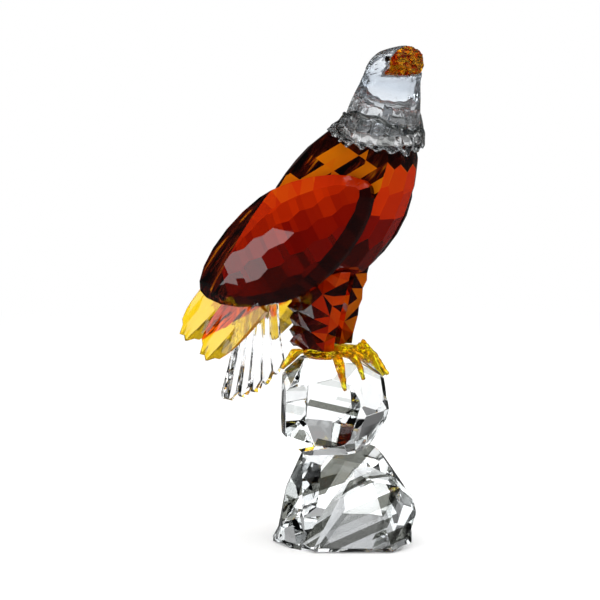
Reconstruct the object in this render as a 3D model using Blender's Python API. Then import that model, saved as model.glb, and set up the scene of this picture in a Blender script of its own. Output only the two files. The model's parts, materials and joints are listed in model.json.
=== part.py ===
"""An eagle of cut and cast crystal, standing on a boulder that is set on a two-stone rock base.

Metres, +Z up. The bird faces +X and its left side is +Y. The origin is the middle of the underside.
Cut stones are ground flat, facet by facet, out of a rough block. Cast pieces are lofted from sections.
Two cemented pieces share one flat seat, and each stops half a seam short of it.
"""

import math

import bmesh
import bpy
from mathutils import Matrix, Vector

MM = 0.001

# Seams and small clearances
SEAM = 0.3 * MM  # clear cement between two seated pieces
CLEARANCE = 0.5 * MM  # free space beside a piece that only passes another
GRIND_REACH = 1e-7
WELD_REACH = 0.03 * MM

# Rock base: two stones side by side, with one flat joint between them
ROCK_HEIGHT = 41 * MM
ROCK_WIDTH = 66 * MM
ROCK_DEPTH = 60 * MM
JOINT_SETBACK = 7 * MM  # to the right of the middle of the base
JOINT_HEADING, JOINT_TILT = -62, 33  # degrees, how the front stone's back leans

# Boulder
BOULDER_HEIGHT = 41 * MM
BOULDER_WIDTH = 43.5 * MM
BOULDER_DEPTH = 41 * MM
BOULDER_SETBACK = 4.5 * MM  # how far its middle lies behind the middle of the base
BOULDER_SQUARENESS = 0.28  # 0 is an egg, 1 is a block

# Body: an egg with a faceted skin
BODY_LENGTH = 105 * MM
BODY_WIDTH = 53 * MM
BODY_THICKNESS = 54 * MM
BODY_PITCH = 53.8  # degrees, how steeply the back climbs to the neck
BODY_SETBACK = 3.9 * MM
BODY_RISE = 65.4 * MM  # from the perch up to the middle of the body
BODY_ROWS = 10
BODY_FACETS_ROUND = 18

# Neck, head, beak and eyes
NECK_LEAN = 7.0  # degrees forward of upright
NECK_FORWARD_OF_BODY = 22.4 * MM  # the neck seat, from the middle of the body
NECK_ABOVE_BODY = 35.6 * MM
NECK_RADIUS = 16.7 * MM
HEAD_HEIGHT = 38 * MM  # from the top of the collar's disc to the crown
HEAD_SIDES = 18
CHIN_SHARE = 0.68  # of the head's height, where the beak's underside lies
BEAK_SEAM_FORWARD = 0.15  # of the neck's radius, where the beak's back meets its underside
BEAK_SEAM_SLOPE = 17.0  # degrees, how far the beak's back leans forward
BEAK_SIDES = 12
EYE_RADIUS = 1.3 * MM
EYE_SHARE = 0.885  # of the head's height
EYE_FORWARD = -0.03  # of the neck's radius, from the middle of the head there
SOCKET_DEPTH = 1.0 * MM

# Collar
COLLAR_DISC = 3.6 * MM
COLLAR_LIP = 2.4 * MM
COLLAR_SIDE_LIP = 9.5 * MM  # the collar stands higher at the sides than in front
COLLAR_WALL = 1.2 * MM
COLLAR_DRAFT = 0.1 * MM  # how much its cup widens towards the lip
COLLAR_DROP = 3.5 * MM
COLLAR_LEAVES = 16

# Wings
WING_LENGTH = 97 * MM
WING_WIDTH = 51.5 * MM
WING_UPPER_SHARE = 0.87  # how much less its outline bulges above its middle line than below
WING_THICKNESS = 13 * MM
WING_EDGE_SHARE = 0.5  # of its thickness, where the dome comes down at the ends
WING_ROUNDNESS = 1.65  # exponent of the outline, where 2 is an ellipse
WING_RIM = 3 * MM
WING_RIM_FACETS = 26
WING_BEVEL = 36.0  # degrees, how far the rim's facets turn outwards
WING_REAR_BEVEL = 24.0  # degrees more than that at the rear
WING_FACET_LENGTH = 13 * MM
WING_FACET_WIDTH = 7.5 * MM
WING_YAW = 4.0  # degrees, how far the pair closes towards the tail
WING_LEAN = 12.0  # degrees, how far the pair closes towards the back
WING_PITCH = 34.0
WING_SEAT = 16.6 * MM  # from the middle of the body out to the wing's back face
WING_SETBACK = 18.2 * MM  # the wing's middle from the middle of the body, along the wing
WING_DROP = 5.2 * MM  # and across it

# Wing feathers: two fluted blades in layers under each wing
BLADE_THICKNESS = 4.2 * MM
BLADE_WIDTH = 18.8 * MM
BLADE_TAPER = 0.32  # how much narrower its end is
BLADE_FLUTES = 3
BLADE_FLUTE_DEPTH = 0.4 * MM
BLADE_NOTCH = 1.8 * MM
BLADE_ROWS = 5

# Tail
TAIL_LENGTH = 74 * MM
TAIL_ROOT_WIDTH = 14 * MM
TAIL_END_WIDTH = 53 * MM
TAIL_THICKNESS = 6.5 * MM
TAIL_SEAT = 30.9 * MM  # from the middle of the body
TAIL_RISE = 15.2 * MM  # of its top edge, below the middle of the body
TAIL_LEAN = 6.0  # degrees, how far its end stands back
TAIL_RIDGE = 3 * MM
TAIL_SLANT = 2.6 * MM  # how much longer its right edge is, and how much shorter its left
TAIL_FLUTE_DEPTH = 0.9 * MM
TAIL_NOTCH = 3.6 * MM
TAIL_FEATHERS = 5
TAIL_ROWS = 5

# Legs and feet
LEG_SPREAD = 15.5 * MM  # between the middles of the two legs
LEG_DEPTH = 21 * MM
LEG_WIDTH = 11.5 * MM
LEG_RAKE = 12 * MM  # how far its front leans out on the way up
LEG_BEHIND_FOOT = 2.5 * MM  # its middle from the middle of the foot
LEG_TEETH = 4
LEG_TEETH_HEIGHT = 21 * MM  # of all of them
THIGH_SEAT = 28 * MM  # from the middle of the body
FOOT_SETBACK = 7 * MM
PALM_LENGTH = 15.5 * MM
PALM_WIDTH = 10 * MM
ANKLE_HEIGHT = 3.6 * MM
TOE_LENGTH = 18.5 * MM
TOE_RADIUS = 3.4 * MM
CLAW_RADIUS = 1.0 * MM
CLAW_START = 0.75  # of the toe's length
TOE_SIDES = 8
TOE_STEPS = 8
PALM_SIDES = 12

PERCH = ROCK_HEIGHT + SEAM + BOULDER_HEIGHT  # height of the boulder's flat top
LEFT, RIGHT = 1, -1


# Directions, frames and flats


def facing(heading, tilt):
    """The unit vector at a heading in plan, turned up by a tilt, both in degrees."""
    turn, rise = math.radians(heading), math.radians(tilt)
    return Vector((math.cos(turn) * math.cos(rise), math.sin(turn) * math.cos(rise), math.sin(rise)))


def on_side(vector, side):
    """A vector given for the bird's right side, for either side."""
    return Vector((vector.x, -vector.y * side, vector.z))


def axes(forward, left, up, origin):
    turn = Matrix((forward, left, up)).transposed().to_4x4()
    return Matrix.Translation(origin) @ turn


# Heights from here on are above the perch, where the bird's empty stands
BODY_MIDDLE = Vector((-BODY_SETBACK, 0, BODY_RISE))
BODY_HALF = Vector((BODY_LENGTH / 2, BODY_WIDTH / 2, BODY_THICKNESS / 2))
BODY_FRAME = axes(facing(0, BODY_PITCH), Vector((0, 1, 0)), facing(180, 90 - BODY_PITCH), BODY_MIDDLE)
NECK_SEAT = BODY_MIDDLE + Vector((NECK_FORWARD_OF_BODY, 0, NECK_ABOVE_BODY))
NECK_FRAME = axes(facing(0, -NECK_LEAN), Vector((0, 1, 0)), facing(0, 90 - NECK_LEAN), NECK_SEAT)
TAIL_OUT = facing(180, TAIL_LEAN)
TAIL_TOP = BODY_MIDDLE + TAIL_OUT * TAIL_SEAT - facing(0, 90 - TAIL_LEAN) * TAIL_RISE
THIGH_OUT = facing(-40, -62)  # out of the right side of the belly


def wing_frame(side):
    """A wing's own axes: forward, across, and out of its face. The origin is the middle of its back."""
    out = facing(WING_YAW - 90, WING_LEAN)
    out.x *= -1
    along = facing(0, WING_PITCH)
    along = (along - out * along.dot(out)).normalized()
    middle = BODY_MIDDLE + out * WING_SEAT - along * WING_SETBACK - out.cross(along) * WING_DROP
    out, along, middle = on_side(out, side), on_side(along, side), on_side(middle, side)
    return axes(along, out.cross(along), out, middle)


def body_seats():
    """(point, outward normal) of the flats that the body's neighbours are cemented to."""
    seats = [(NECK_SEAT, facing(0, 90 - NECK_LEAN)), (TAIL_TOP, TAIL_OUT)]
    for side in (LEFT, RIGHT):
        wing, thigh = wing_frame(side), on_side(THIGH_OUT, side)
        seats += [(wing.translation, wing.col[2].xyz), (BODY_MIDDLE + thigh * THIGH_SEAT, thigh)]
    return seats


# Scene, materials and objects


def clear_scene():
    for old in list(bpy.data.objects):
        bpy.data.objects.remove(old)


def make_material(name, color, roughness, transmission=1.0, metallic=0.0):
    material = bpy.data.materials.new(name)
    material.use_nodes = True
    shader = material.node_tree.nodes["Principled BSDF"]
    shader.inputs["Base Color"].default_value = (*color, 1.0)
    shader.inputs["Roughness"].default_value = roughness
    shader.inputs["Metallic"].default_value = metallic
    shader.inputs["Transmission Weight"].default_value = transmission
    material.diffuse_color = (*color, 1.0)
    return material


def add_empty(name, parent, frame):
    empty = bpy.data.objects.new(name, None)
    bpy.context.scene.collection.objects.link(empty)
    empty.parent = parent
    empty.matrix_basis = frame
    return empty


def add_piece(name, skin, material, parent=None, frame=None, round_angle=None):
    """Turns a bmesh into a named object, with slivers welded and its faces pointing out."""
    bmesh.ops.remove_doubles(skin, verts=skin.verts, dist=WELD_REACH)
    bmesh.ops.dissolve_degenerate(skin, edges=skin.edges, dist=WELD_REACH / 10)
    bmesh.ops.recalc_face_normals(skin, faces=skin.faces)
    mesh = bpy.data.meshes.new(name)
    skin.to_mesh(mesh)
    skin.free()
    mesh.materials.append(material)
    if round_angle:
        mesh.shade_smooth()
        mesh.set_sharp_from_angle(angle=math.radians(round_angle))
    piece = bpy.data.objects.new(name, mesh)
    bpy.context.scene.collection.objects.link(piece)
    piece.parent = parent
    piece.matrix_basis = frame or Matrix()
    return piece


def join_or_cut(piece, operation, name, skin, frame=None):
    """Joins a hidden helper to a piece, or cuts it out, in the piece's own axes unless a frame is given."""
    helper = add_piece(name, skin, piece.data.materials[0], piece, frame)
    helper.hide_render = True
    helper.display_type = "WIRE"
    step = piece.modifiers.new(name, "BOOLEAN")
    step.operation = operation
    step.solver = "EXACT"
    step.object = helper


# Ways of making a shape


def rough_block(low, high):
    block = bmesh.new()
    bmesh.ops.create_cube(block, size=1.0)
    bmesh.ops.scale(block, vec=Vector(high) - Vector(low), verts=block.verts)
    bmesh.ops.translate(block, vec=(Vector(high) + Vector(low)) / 2, verts=block.verts)
    return block


def grind(stone, point, out):
    """Takes off all that stands beyond one plane and closes the stone with a flat facet there."""
    everything = stone.verts[:] + stone.edges[:] + stone.faces[:]
    bmesh.ops.bisect_plane(
        stone, geom=everything, dist=GRIND_REACH, plane_co=point, plane_no=out, clear_outer=True
    )
    rim = [edge for edge in stone.edges if len(edge.link_faces) == 1]
    if rim:
        bmesh.ops.holes_fill(stone, edges=rim, sides=0)


def loft(rings):
    """A closed skin over sections that all have the same number of points."""
    skin = bmesh.new()
    rows = [[skin.verts.new(point) for point in ring] for ring in rings]
    count = len(rows[0])
    for lower, upper in zip(rows, rows[1:]):
        for k in range(count):
            follow = (k + 1) % count
            skin.faces.new((lower[k], lower[follow], upper[follow], upper[k]))
    skin.faces.new(rows[0])
    skin.faces.new(rows[-1])
    return skin


def plate(columns, rows, front, back):
    """A closed plate between two grids of points, front(column, row) and back(column, row)."""
    skin = bmesh.new()
    near = [[skin.verts.new(front(c, r)) for r in range(rows + 1)] for c in range(columns + 1)]
    far = [[skin.verts.new(back(c, r)) for r in range(rows + 1)] for c in range(columns + 1)]
    for c in range(columns):
        for r in range(rows):
            skin.faces.new((near[c][r], near[c + 1][r], near[c + 1][r + 1], near[c][r + 1]))
            skin.faces.new((far[c][r], far[c][r + 1], far[c + 1][r + 1], far[c + 1][r]))
        skin.faces.new((near[c][0], far[c][0], far[c + 1][0], near[c + 1][0]))
        skin.faces.new((near[c][rows], near[c + 1][rows], far[c + 1][rows], far[c][rows]))
    for r in range(rows):
        skin.faces.new((near[0][r], near[0][r + 1], far[0][r + 1], far[0][r]))
        skin.faces.new((near[columns][r], far[columns][r], far[columns][r + 1], near[columns][r + 1]))
    return skin


def mirrored(skin, side):
    """A shape made for the right side, with its second axis turned over for the left."""
    if side == LEFT:
        bmesh.ops.scale(skin, vec=Vector((1, -1, 1)), verts=skin.verts)
    return skin


# Rocks

# Facets of the base stones: heading, tilt, and how far out they stand at a height, as shares of the rock
ROCK_BACK_FACETS = (
    (-150, 9, 0.75, 0.62), (-102, 27, 0.33, 0.80), (-128, 40, 0.48, 0.90), (28, 35, 0.44, 1.00),
    (2, 30, 0.60, 0.75), (70, 20, 0.66, 0.70), (62, 46, 0.50, 0.96), (110, 28, 0.56, 0.92),
    (115, 8, 0.76, 0.50), (155, 26, 0.56, 0.95), (165, 10, 0.72, 0.60), (-175, 18, 0.62, 0.80),
    (-10, 5, 0.80, 0.40), (26, 5, 0.88, 0.35), (50, 8, 0.86, 0.30), (45, -50, 0.90, 0.03),
    (135, -50, 0.85, 0.03), (-135, -48, 0.86, 0.03),
)
ROCK_SHOULDER_FACETS = (
    (-152, 27, 0.87, 0.10), (-132, 54, 0.72, 0.32), (-112, 14, 0.80, 0.20), (-84, 52, 0.52, 0.36),
    (172, 24, 0.78, 0.20), (150, 48, 0.62, 0.40), (-20, 46, -0.10, 0.40), (90, 10, 0.30, 0.30),
    (-40, 4, 0.30, 0.20), (-112, -50, 0.80, 0.03),
)
ROCK_FRONT_FACETS = (
    (-62, 30, 0.81, 0.08), (-112, 45, 0.626, 0.20), (-38, 33, 0.82, 0.30), (18, 3, 1.02, 0.30),
    (12, 50, 0.95, 0.52), (-12, 66, 0.62, 0.68), (-70, 74, 0.34, 0.71), (-62, -54, 0.82, 0.05),
    (-12, 8, 0.99, 0.25), (0, -50, 0.98, 0.04), (34, 12, 0.95, 0.30), (-130, -50, 0.66, 0.03),
)


def cut_rock(facets, joint_side):
    """One stone of the base. joint_side is 1 for the stone in front of the joint and -1 behind it."""
    half = Vector((ROCK_WIDTH * 0.53, ROCK_DEPTH / 2, 0))
    stone = rough_block(-half, half + Vector((0, 0, ROCK_HEIGHT)))
    for heading, tilt, distance, height in facets:
        spot = facing(heading, 0) * distance * ROCK_WIDTH / 2
        spot.z = height * ROCK_HEIGHT
        grind(stone, spot, facing(heading, tilt))
    joint_out = facing(JOINT_HEADING, JOINT_TILT)
    joint = Vector((0, -JOINT_SETBACK, ROCK_HEIGHT * 0.55)) + joint_out * joint_side * SEAM / 2
    grind(stone, joint, -joint_out * joint_side)
    return stone


def make_base(material):
    back = add_piece("rock_base_back", cut_rock(ROCK_BACK_FACETS, -1), material)
    join_or_cut(back, "UNION", "joined_low_shoulder", cut_rock(ROCK_SHOULDER_FACETS, -1))
    add_piece("rock_base_front", cut_rock(ROCK_FRONT_FACETS, 1), material)


# Facets of the boulder: heading, tilt, and how much of the rough stone's reach is left there
BOULDER_FACETS = (
    (-66, 2, 0.92), (-148, 1, 0.95), (-54, -50, 1.05), (-84, 54, 0.995), (-52, 42, 0.985), (-24, 24, 0.97),
    (4, 11, 0.86), (-26, -10, 0.975), (-20, -36, 0.98), (2, -22, 0.87), (30, 46, 0.90), (46, -40, 0.95),
    (66, 4, 0.90), (78, 44, 0.93), (88, -40, 0.96), (122, 2, 0.95), (125, 45, 0.93), (128, -42, 0.95),
    (165, 4, 0.95), (172, 44, 0.95), (168, -40, 0.97), (-136, 44, 0.98), (-140, -44, 1.03),
)


def boulder_planes():
    """(point, outward normal) of the boulder's facets, from the middle of the boulder."""
    half = (BOULDER_WIDTH / 2, BOULDER_DEPTH / 2, BOULDER_HEIGHT / 2)
    planes = []
    for heading, tilt, share in BOULDER_FACETS:
        out = facing(heading, tilt)
        egg = math.hypot(*(out[k] * half[k] for k in range(3)))
        block = sum(abs(out[k]) * half[k] for k in range(3))
        reach = share * (egg + (block - egg) * BOULDER_SQUARENESS)
        planes.append((out * reach, out))
    return planes


def make_boulder(material):
    half = Vector((BOULDER_WIDTH, BOULDER_DEPTH, BOULDER_HEIGHT / 2))
    stone = rough_block(-half, half)
    for point, out in boulder_planes():
        grind(stone, point, out)
    middle = Matrix.Translation((-BOULDER_SETBACK, 0, PERCH - BOULDER_HEIGHT / 2))
    add_piece("boulder", stone, material, frame=middle)


# Body


def make_body(material, bird):
    """An egg ground with rows of facets, with a flat for each neighbour."""
    stone = rough_block(-BODY_HALF * 2, BODY_HALF * 2)
    lowest, highest = math.radians(-78), math.radians(58)
    for row in range(BODY_ROWS):
        climb = lowest + (highest - lowest) * row / (BODY_ROWS - 1)
        count = max(7, round(BODY_FACETS_ROUND * math.cos(climb) ** 0.7))
        for column in range(count):
            turn = 2 * math.pi * (column + 0.5 * (row % 2)) / count
            unit = Vector((
                math.sin(climb), math.cos(climb) * math.sin(turn), math.cos(climb) * math.cos(turn)
            ))
            out = Vector([unit[k] / BODY_HALF[k] for k in range(3)]).normalized()
            grind(stone, unit * BODY_HALF, out)
    to_body = BODY_FRAME.inverted()
    for point, out in body_seats():
        grind(stone, to_body @ (point - out * SEAM / 2), to_body.to_3x3() @ out)
    add_piece("body", stone, material, bird, BODY_FRAME)


def body_reach(turn, rise):
    """How far the egg reaches from the neck's axis, in a direction round it and at a height along it."""
    to_egg = BODY_FRAME.inverted() @ NECK_FRAME
    start = to_egg @ Vector((0, 0, rise))
    direction = to_egg.to_3x3() @ Vector((math.cos(turn), math.sin(turn), 0))
    start = Vector([start[k] / BODY_HALF[k] for k in range(3)])
    direction = Vector([direction[k] / BODY_HALF[k] for k in range(3)])
    a, b, c = direction.dot(direction), start.dot(direction), start.dot(start) - 1
    return (-b + math.sqrt(max(0.0, b * b - a * c))) / a


# Collar


def make_collar(material, neck):
    """A clear disc with a lip round the neck and a skirt of leaf points that hangs over the shoulders."""
    steps = 2 * COLLAR_LEAVES
    cup = NECK_RADIUS + CLEARANCE
    skin = bmesh.new()
    rows = []
    for k in range(steps):
        turn = 2 * math.pi * k / steps
        is_tip = k % 2 == 0
        drop = COLLAR_DROP * (1.0 if is_tip else 0.4) * (0.58 + 0.42 * math.cos(turn))
        lip = (COLLAR_LIP + (COLLAR_SIDE_LIP - COLLAR_LIP) * math.sin(turn) ** 2) * (1.0 if is_tip else 0.8)
        puff = COLLAR_WALL * (1.4 if is_tip else 0.7)
        shoulder = max(cup, body_reach(turn, -SEAM) + 3 * CLEARANCE)
        skirt = max(cup, body_reach(turn, -drop), body_reach(turn, -drop / 2)) + 3 * CLEARANCE
        profile = (
            (cup, COLLAR_DISC), (cup + COLLAR_DRAFT, COLLAR_DISC + lip),
            (cup + puff * 0.5, COLLAR_DISC + lip * 0.9),
            (cup + puff * 1.3, COLLAR_DISC + lip * 0.2), (skirt + puff * 0.7, -drop * 0.5),
            (skirt + puff * 0.3, -drop), (skirt, -drop), (shoulder, -SEAM), (shoulder, SEAM / 2),
        )
        rows.append([skin.verts.new((r * math.cos(turn), r * math.sin(turn), z)) for r, z in profile])
    for near, far in zip(rows, rows[1:] + rows[:1]):
        for i in range(len(near) - 1):
            skin.faces.new((near[i], far[i], far[i + 1], near[i + 1]))
    skin.faces.new([row[0] for row in rows])
    skin.faces.new([row[-1] for row in rows])
    add_piece("collar", skin, material, neck)


# Head, beak and eyes, in the head's own axes, with the neck's round foot at the origin

# Sections of the head: height as a share of HEAD_HEIGHT, then shift forward, depth and width as shares
# of NECK_RADIUS, and the section's tilt in degrees
HEAD_SECTIONS = (
    (0.0, 0.0, 1.0, 1.0, 0), (0.12, 0.01, 0.99, 0.97, 0), (0.27, 0.05, 0.94, 0.91, 0),
    (0.39, 0.09, 0.88, 0.83, 0), (0.50, 0.12, 0.82, 0.77, 1), (0.62, 0.15, 0.78, 0.73, 2),
    (0.73, 0.17, 0.75, 0.70, 3), (0.82, 0.21, 0.68, 0.64, 5), (0.90, 0.27, 0.57, 0.54, 7),
    (0.945, 0.34, 0.41, 0.39, 9), (0.97, 0.40, 0.22, 0.22, 10),
)
# Sections of the two halves of the beak: how far forward, then height of the middle, half height and
# half width. Heights are shares of the beak's own height, the rest of the neck's radius.
UPPER_BEAK = (
    (0.0, 0.60, 0.42, 0.60), (0.35, 0.62, 0.41, 0.58), (0.60, 0.62, 0.40, 0.50), (0.77, 0.57, 0.41, 0.41),
    (0.88, 0.48, 0.37, 0.30), (0.93, 0.40, 0.24, 0.17),
)
LOWER_BEAK = (
    (0.0, 0.12, 0.24, 0.62), (0.42, 0.13, 0.23, 0.57), (0.66, 0.14, 0.20, 0.46), (0.80, 0.15, 0.15, 0.33),
)


def head_ring(share, shift, depth, width, tilt):
    lean = math.radians(tilt)
    ring = []
    for k in range(HEAD_SIDES):
        turn = 2 * math.pi * k / HEAD_SIDES
        x = NECK_RADIUS * (shift + depth * math.cos(turn))
        ring.append(Vector((
            x * math.cos(lean), NECK_RADIUS * width * math.sin(turn), HEAD_HEIGHT * share + x * math.sin(lean)
        )))
    return ring


def head_section(share):
    """Shift, depth and width of the head at any share of its height."""
    for lower, upper in zip(HEAD_SECTIONS, HEAD_SECTIONS[1:]):
        if share <= upper[0]:
            part = (share - lower[0]) / (upper[0] - lower[0])
            return [a + (b - a) * part for a, b in zip(lower[1:4], upper[1:4])]
    return HEAD_SECTIONS[-1][1:4]


def beak_seats():
    """(point, normal towards the beak) of the two flats between the head and the beak."""
    corner = Vector((NECK_RADIUS * BEAK_SEAM_FORWARD, 0, HEAD_HEIGHT * CHIN_SHARE))
    return (corner, facing(0, -BEAK_SEAM_SLOPE)), (corner, facing(0, 90 + NECK_LEAN))


def eye_frame(side):
    """The eye's place on the cheek, with the third axis pointing where it looks."""
    shift, depth, width = head_section(EYE_SHARE)
    bulge = math.sqrt(1 - (EYE_FORWARD / depth) ** 2)
    middle = Vector((shift + EYE_FORWARD, side * width * bulge, 0)) * NECK_RADIUS
    middle.z = HEAD_HEIGHT * EYE_SHARE
    look = Vector((0.12, side, 0.42)).normalized()
    return Matrix.Translation(middle) @ Vector((0, 0, 1)).rotation_difference(look).to_matrix().to_4x4()


def make_head(material, neck):
    skin = loft([head_ring(*section) for section in HEAD_SECTIONS])
    foot = Matrix.Translation((0, 0, COLLAR_DISC + SEAM))
    head = add_piece("head", skin, material, neck, foot, round_angle=40)
    corner = beak_seats()[0][0]
    spread = Vector((3, 2, 3)) * NECK_RADIUS
    wedge = rough_block(corner - spread / 2, corner + spread)
    for point, out in beak_seats():
        grind(wedge, point, -out)
    join_or_cut(head, "DIFFERENCE", "cutter_beak_seat", wedge)
    for side, name in ((RIGHT, "right"), (LEFT, "left")):
        socket = bmesh.new()
        radius, depth = EYE_RADIUS + SEAM, 6 * SOCKET_DEPTH
        bmesh.ops.create_cone(socket, cap_ends=True, segments=12, radius1=radius, radius2=radius, depth=depth)
        bmesh.ops.translate(socket, vec=Vector((0, 0, depth / 2 - SOCKET_DEPTH)), verts=socket.verts)
        join_or_cut(head, "DIFFERENCE", f"cutter_socket_{name}", socket, eye_frame(side))
    return head


def make_eye(side, name, material, head):
    """A bead with a flat back on the floor of its socket."""
    bead = bmesh.new()
    bmesh.ops.create_uvsphere(bead, u_segments=10, v_segments=6, radius=EYE_RADIUS)
    floor = Vector((0, 0, SEAM - SOCKET_DEPTH))
    bmesh.ops.translate(bead, vec=floor + Vector((0, 0, EYE_RADIUS * 0.6)), verts=bead.verts)
    grind(bead, floor, Vector((0, 0, -1)))
    add_piece(f"eye_{name}", bead, material, head, eye_frame(side), round_angle=60)


def cut_beak_half(sections):
    chin = HEAD_HEIGHT * CHIN_SHARE
    rings = []
    for forward, middle, tall, wide in sections:
        ring = []
        for k in range(BEAK_SIDES):
            turn = 2 * math.pi * k / BEAK_SIDES
            height = chin + (HEAD_HEIGHT - chin) * (middle + tall * math.cos(turn))
            ring.append(Vector((NECK_RADIUS * forward, NECK_RADIUS * wide * math.sin(turn), height)))
        rings.append(ring)
    half = loft(rings)
    for point, out in beak_seats():
        grind(half, point + out * SEAM, -out)
    return half


def make_beak(material, head):
    """The hooked upper half, joined to the lower one."""
    beak = add_piece("beak", cut_beak_half(UPPER_BEAK), material, head, round_angle=40)
    join_or_cut(beak, "UNION", "joined_lower_beak", cut_beak_half(LOWER_BEAK))


# Wings


def wing_outline(turn):
    """Point and outward direction on the wing's outline, at an angle round it."""
    c, s = math.cos(turn), math.sin(turn)
    power, steep = 2 / WING_ROUNDNESS, WING_ROUNDNESS - 1
    x = math.copysign(abs(c) ** power, c)
    y = math.copysign(abs(s) ** power, s)
    width = WING_WIDTH * (WING_UPPER_SHARE if y > 0 else 1)
    out = Vector((
        math.copysign(abs(x) ** steep, x) / WING_LENGTH, math.copysign(abs(y) ** steep, y) / width, 0
    ))
    return Vector((x * WING_LENGTH / 2, y * width / 2, 0)), out.normalized()


def cut_wing():
    """A leaf-shaped stone with a flat back, a bevelled rim and a grid of facets over its dome."""
    half_long, half_wide = WING_LENGTH / 2, WING_WIDTH / 2
    stone = rough_block((-half_long, -half_wide, SEAM / 2), (half_long, half_wide, WING_THICKNESS))
    rear_and_up = Vector((-0.8, 0.6, 0))
    for k in range(WING_RIM_FACETS):
        point, out = wing_outline(2 * math.pi * (k + 0.5) / WING_RIM_FACETS)
        grind(stone, point, out)
        rise = math.radians(WING_BEVEL + WING_REAR_BEVEL * max(0.0, out.dot(rear_and_up)))
        bevel = out * math.cos(rise) + Vector((0, 0, math.sin(rise)))
        grind(stone, point + Vector((0, 0, WING_RIM)), bevel)
    dome = WING_THICKNESS * (1 - WING_EDGE_SHARE)
    rows, columns = round(WING_WIDTH / WING_FACET_WIDTH), round(WING_LENGTH / WING_FACET_LENGTH)
    for row in range(rows):
        y = WING_FACET_WIDTH * (row - (rows - 1) / 2)
        stagger = 0.3 if row % 2 else -0.2
        for column in range(columns):
            x = WING_FACET_LENGTH * (column - (columns - 1) / 2 + stagger)
            z = WING_THICKNESS - dome * ((x / half_long) ** 2 + (y / half_wide) ** 2)
            slope = Vector((2 * dome * x / half_long ** 2, 2 * dome * y / half_wide ** 2, 1))
            grind(stone, Vector((x, y, z)), slope.normalized())
    return stone


# Feathers under a wing: name, root and end as shares of the wing's length and width, and the layer
BLADES = (
    ("inner", (-0.29, -0.27), (-0.655, -0.50), 0),
    ("outer", (-0.355, -0.02), (-0.735, -0.225), 1),
)


def cut_blade(root, end, layer):
    """A feather with fluted faces and a notched end, flat under the wing."""
    start = Vector((root[0] * WING_LENGTH, root[1] * WING_WIDTH, 0))
    stop = Vector((end[0] * WING_LENGTH, end[1] * WING_WIDTH, 0))
    length = (stop - start).length
    along = (stop - start) / length
    across = Vector((-along.y, along.x, 0))
    top = -layer * (BLADE_THICKNESS + SEAM) - SEAM / 2
    columns = 2 * BLADE_FLUTES

    def place(column, row):
        share, side = row / BLADE_ROWS, 2 * column / columns - 1
        width = BLADE_WIDTH * (1 - BLADE_TAPER * share ** 3)
        reach = length * share * (1 - 0.15 * side * side * share ** 2)
        if row == BLADE_ROWS and column % 2:
            reach -= BLADE_NOTCH
        return start + along * reach + across * side * width / 2

    def front(column, row):
        share, side = row / BLADE_ROWS, 2 * column / columns - 1
        groove = BLADE_FLUTE_DEPTH * (column % 2) * share
        thinning = BLADE_THICKNESS * share ** 2 * (0.14 + 0.24 * side * side)
        return place(column, row) + Vector((0, 0, top - groove - thinning))

    def back(column, row):
        share, side = row / BLADE_ROWS, 2 * column / columns - 1
        thick = BLADE_THICKNESS * (1 - 0.35 * share ** 2) * (1 - 0.25 * side * side)
        return place(column, row) + Vector((0, 0, top - thick))

    return plate(columns, BLADE_ROWS, front, back)


def make_wing(side, name, wing_material, feather_material, bird):
    frame = wing_frame(side)
    add_piece(f"wing_{name}", mirrored(cut_wing(), side), wing_material, bird, frame)
    for blade, root, end, layer in BLADES:
        skin = mirrored(cut_blade(root, end, layer), side)
        add_piece(f"wing_feather_{blade}_{name}", skin, feather_material, bird, frame)


# Tail


def make_tail(material, bird):
    """A fan of round-ended feathers in one plate, with a ridge down its front and flutes down its back."""
    round_end = (1.0, 0.2, 0.0, 0.2)  # how much of the notch is cut away, across one feather
    per_feather = len(round_end)
    columns = TAIL_FEATHERS * per_feather

    def place(column, row):
        share, side = row / TAIL_ROWS, 2 * column / columns - 1
        width = TAIL_ROOT_WIDTH + (TAIL_END_WIDTH - TAIL_ROOT_WIDTH) * share ** 1.3
        drop = (TAIL_LENGTH - TAIL_SLANT * side * share) * share * (1 - 0.045 * side * side * share)
        if row == TAIL_ROWS:
            drop -= TAIL_NOTCH * round_end[column % per_feather]
        return Vector((-SEAM / 2, width / 2 * side, -drop))

    def front(column, row):
        share, side = row / TAIL_ROWS, 2 * column / columns - 1
        ridge = TAIL_RIDGE * (1 - abs(side)) * max(0.0, share - 0.4)
        return place(column, row) + Vector((ridge, 0, 0))

    def back(column, row):
        share, side = row / TAIL_ROWS, 2 * column / columns - 1
        flute = TAIL_FLUTE_DEPTH * abs(math.sin(math.pi * column / per_feather)) * share
        thick = TAIL_THICKNESS * (1 - 0.35 * share) * (1 - 0.3 * side * side)
        return place(column, row) - Vector((thick + flute, 0, 0))

    frame = axes(-TAIL_OUT, Vector((0, 1, 0)), facing(0, 90 - TAIL_LEAN), TAIL_TOP)
    add_piece("tail", plate(columns, TAIL_ROWS, front, back), material, bird, frame)


# Legs and feet, each with its origin on the perch under the middle of the foot


def foot_spot(side):
    return Vector((-FOOT_SETBACK, side * LEG_SPREAD / 2, 0))


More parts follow.
